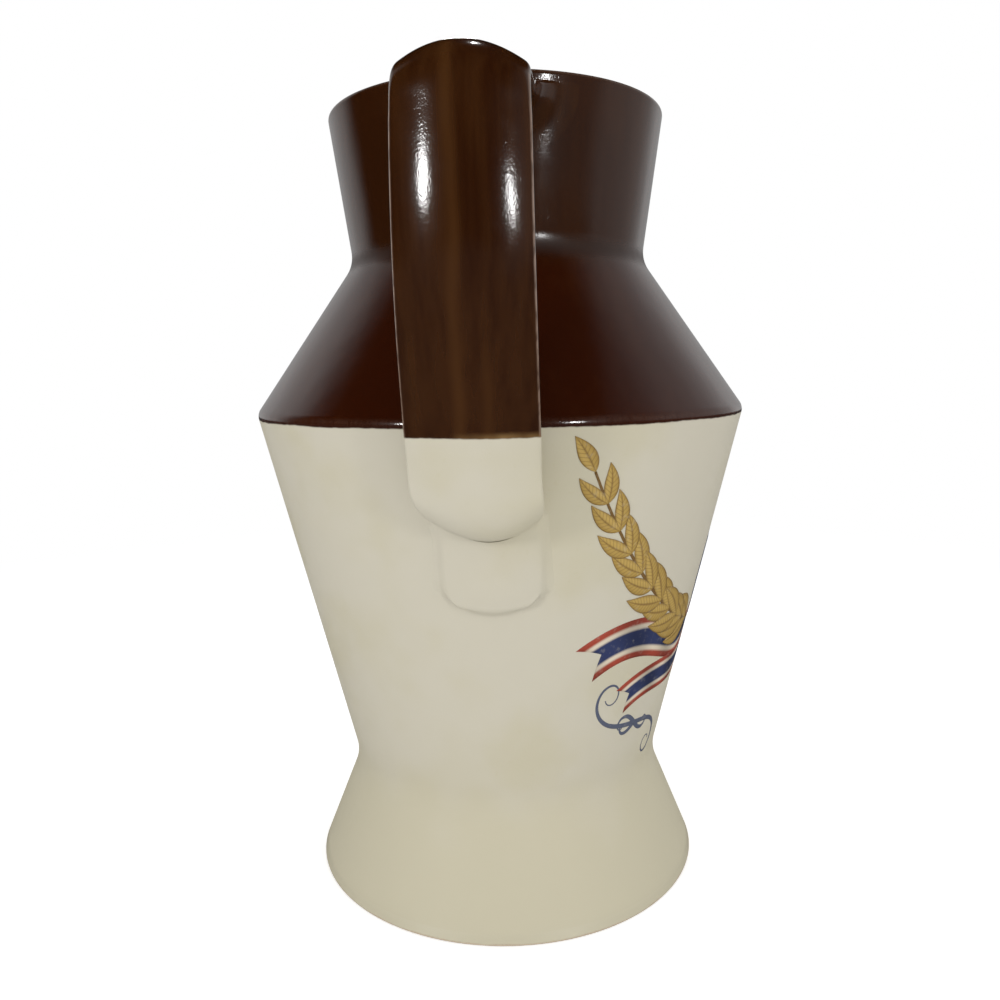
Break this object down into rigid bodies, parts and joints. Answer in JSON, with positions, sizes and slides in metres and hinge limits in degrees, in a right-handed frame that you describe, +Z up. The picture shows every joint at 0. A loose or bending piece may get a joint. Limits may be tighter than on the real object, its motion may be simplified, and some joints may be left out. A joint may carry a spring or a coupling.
{
  "type": "pitcher",
  "caption": "Angular two-glaze stoneware pitcher with a flared foot, sloping shoulder, collar neck, pouring lip and a broad strap handle level with the rim.",
  "frame": {"origin": "on the table plane under the foot, midway between the back of the handle and the far edge of the shoulder; the pitcher's upright axis is 12.8 mm from it along +X", "axes": "+Z up, +X towards the pouring lip, -X towards the handle, -Y towards the decorated side"},
  "size_m": [0.173, 0.1474, 0.2325],
  "materials": {
    "brown_glaze": "glossy dark brown glaze, lighter where it is thin over an edge",
    "ivory_glaze": "satin ivory glaze with faint yellowish clouds",
    "bare_clay": "matt fired clay, wiped clean of glaze"
  },
  "bodies": {
    "root": {"foot_ring": "bare_clay", "floor": "ivory_glaze", "flared_foot": "ivory_glaze", "belly_wall": "ivory_glaze", "shoulder": "brown_glaze", "neck_and_lip": "brown_glaze", "handle_strap": "brown_glaze", "handle_heel": "ivory_glaze", "handle_pad": "ivory_glaze"}
  },
  "joints": []
}
